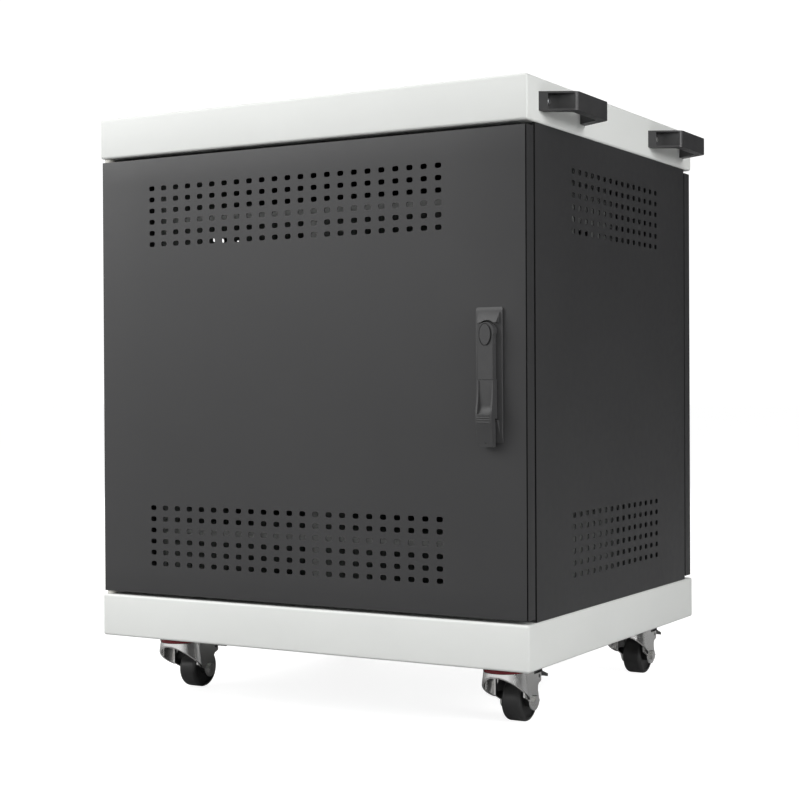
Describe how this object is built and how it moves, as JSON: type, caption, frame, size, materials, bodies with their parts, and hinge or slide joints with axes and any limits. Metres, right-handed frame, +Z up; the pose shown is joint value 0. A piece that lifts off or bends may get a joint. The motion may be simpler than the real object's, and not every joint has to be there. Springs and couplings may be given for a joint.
{
  "type": "laptop storage cabinet",
  "caption": "Mobile laptop storage cabinet with vented door, swing-handle lock, slotted inner rack, side handles and braked swivel casters.",
  "frame": {"origin": "on the floor under the middle of the cabinet body", "axes": "+X to the right seen from the front, +Y to the back, +Z up; the front door faces -Y"},
  "size_m": [0.676, 0.5332, 0.732],
  "materials": {
    "light_cover": "satin powder coat, off-white",
    "dark_panel": "fine-textured powder coat, dark grey",
    "rack_grey": "satin powder coat, light grey",
    "black_plastic": "fine-grained black plastic",
    "bush_plastic": "plain natural plastic",
    "red_ring": "glossy dark red",
    "bright_steel": "bright plated steel",
    "zinc_steel": "zinc plated steel",
    "wheel_black": "smooth black tread"
  },
  "bodies": {
    "cabinet": {"base_tray": "light_cover", "lid_tray": "light_cover", "roof_panel": "dark_panel", "caster_channels": "dark_panel", "side_panel_left": "dark_panel", "side_panel_right": "dark_panel", "front_post_left": "dark_panel", "front_post_right": "dark_panel", "rear_posts": "dark_panel", "door_stop_rails": "dark_panel", "rack_wall_left": "rack_grey", "rack_wall_right": "rack_grey", "rack_divider": "rack_grey", "rack_top_shelf": "rack_grey", "rack_bottom_shelves": "rack_grey", "slot_shelves_left": "rack_grey", "slot_shelves_right": "rack_grey", "rack_stop_bars": "rack_grey", "hinge_pins": "zinc_steel", "lock_keeper": "zinc_steel", "rear_lock_keeper": "zinc_steel", "handle_left_front": "black_plastic", "handle_left_rear": "black_plastic", "handle_right_front": "black_plastic", "handle_right_rear": "black_plastic", "handle_screws": "zinc_steel", "caster_plates": "bright_steel", "caster_dust_rings": "red_ring", "caster_kingpins": "bright_steel", "caster_bolts": "bright_steel"},
    "front_door": {"front_door": "dark_panel", "door_stiffener": "dark_panel", "door_bushes": "bush_plastic", "lock_base": "black_plastic"},
    "lock_spindle": {"lock_spindle": "zinc_steel", "lock_cam": "zinc_steel"},
    "lock_lever": {"lock_lever": "black_plastic", "lock_key_plug": "bright_steel"},
    "lock_key_cover": {"lock_key_cover": "black_plastic"},
    "rear_door": {"rear_door": "dark_panel", "rear_door_bushes": "bush_plastic", "rear_lock_body": "bright_steel"},
    "rear_lock": {"rear_lock_plug": "bright_steel", "rear_lock_cam": "zinc_steel"},
    "fork_front_left": {"caster_fork_front_left": "bright_steel", "caster_axle_front_left": "bright_steel"},
    "wheel_front_left": {"caster_wheel_front_left": "wheel_black"},
    "brake_front_left": {"caster_brake_front_left": "black_plastic"},
    "fork_front_right": {"caster_fork_front_right": "bright_steel", "caster_axle_front_right": "bright_steel"},
    "wheel_front_right": {"caster_wheel_front_right": "wheel_black"},
    "brake_front_right": {"caster_brake_front_right": "black_plastic"},
    "fork_rear_left": {"caster_fork_rear_left": "bright_steel", "caster_axle_rear_left": "bright_steel"},
    "wheel_rear_left": {"caster_wheel_rear_left": "wheel_black"},
    "brake_rear_left": {"caster_brake_rear_left": "black_plastic"},
    "fork_rear_right": {"caster_fork_rear_right": "bright_steel", "caster_axle_rear_right": "bright_steel"},
    "wheel_rear_right": {"caster_wheel_rear_right": "wheel_black"},
    "brake_rear_right": {"caster_brake_rear_right": "black_plastic"}
  },
  "joints": [
    {"name": "front_door_hinge", "type": "hinge", "parent": "cabinet", "child": "front_door", "pos_m": [-0.292, -0.247, 0.4055], "axis": [0, 0, -1], "range_deg": [0, 120]},
    {"name": "lock_lever_turn", "type": "hinge", "parent": "front_door", "child": "lock_spindle", "pos_m": [0.2532, -0.255, 0.4511], "axis": [0, 1, 0], "range_deg": [0, 90]},
    {"name": "lock_lever_tilt", "type": "hinge", "parent": "lock_spindle", "child": "lock_lever", "pos_m": [0.2532, -0.2612, 0.4576], "axis": [-1, 0, 0], "range_deg": [0, 30]},
    {"name": "lock_key_cover_swing", "type": "hinge", "parent": "lock_lever", "child": "lock_key_cover", "pos_m": [0.2532, -0.267, 0.4389], "axis": [0, 1, 0], "range_deg": [-90, 90]},
    {"name": "rear_door_hinge", "type": "hinge", "parent": "cabinet", "child": "rear_door", "pos_m": [-0.292, 0.247, 0.4055], "axis": [0, 0, 1], "range_deg": [0, 120]},
    {"name": "rear_lock_turn", "type": "hinge", "parent": "rear_door", "child": "rear_lock", "pos_m": [0.2532, 0.255, 0.4511], "axis": [0, 1, 0], "range_deg": [0, 90]},
    {"name": "swivel_front_left", "type": "hinge", "parent": "cabinet", "child": "fork_front_left", "pos_m": [-0.234, -0.184, 0.0635], "axis": [0, 0, 1], "continuous": true},
    {"name": "roll_front_left", "type": "hinge", "parent": "fork_front_left", "child": "wheel_front_left", "pos_m": [-0.234, -0.1455, 0.025], "axis": [1, 0, 0], "continuous": true},
    {"name": "brake_front_left", "type": "hinge", "parent": "fork_front_left", "child": "brake_front_left", "pos_m": [-0.234, -0.133, 0.052], "axis": [-1, 0, 0], "range_deg": [0, 12]},
    {"name": "swivel_front_right", "type": "hinge", "parent": "cabinet", "child": "fork_front_right", "pos_m": [0.234, -0.184, 0.0635], "axis": [0, 0, 1], "continuous": true},
    {"name": "roll_front_right", "type": "hinge", "parent": "fork_front_right", "child": "wheel_front_right", "pos_m": [0.234, -0.1455, 0.025], "axis": [1, 0, 0], "continuous": true},
    {"name": "brake_front_right", "type": "hinge", "parent": "fork_front_right", "child": "brake_front_right", "pos_m": [0.234, -0.133, 0.052], "axis": [-1, 0, 0], "range_deg": [0, 12]},
    {"name": "swivel_rear_left", "type": "hinge", "parent": "cabinet", "child": "fork_rear_left", "pos_m": [-0.234, 0.184, 0.0635], "axis": [0, 0, 1], "continuous": true},
    {"name": "roll_rear_left", "type": "hinge", "parent": "fork_rear_left", "child": "wheel_rear_left", "pos_m": [-0.234, 0.2225, 0.025], "axis": [1, 0, 0], "continuous": true},
    {"name": "brake_rear_left", "type": "hinge", "parent": "fork_rear_left", "child": "brake_rear_left", "pos_m": [-0.234, 0.235, 0.052], "axis": [-1, 0, 0], "range_deg": [0, 12]},
    {"name": "swivel_rear_right", "type": "hinge", "parent": "cabinet", "child": "fork_rear_right", "pos_m": [0.234, 0.184, 0.0635], "axis": [0, 0, 1], "continuous": true},
    {"name": "roll_rear_right", "type": "hinge", "parent": "fork_rear_right", "child": "wheel_rear_right", "pos_m": [0.234, 0.2225, 0.025], "axis": [1, 0, 0], "continuous": true},
    {"name": "brake_rear_right", "type": "hinge", "parent": "fork_rear_right", "child": "brake_rear_right", "pos_m": [0.234, 0.235, 0.052], "axis": [-1, 0, 0], "range_deg": [0, 12]}
  ]
}
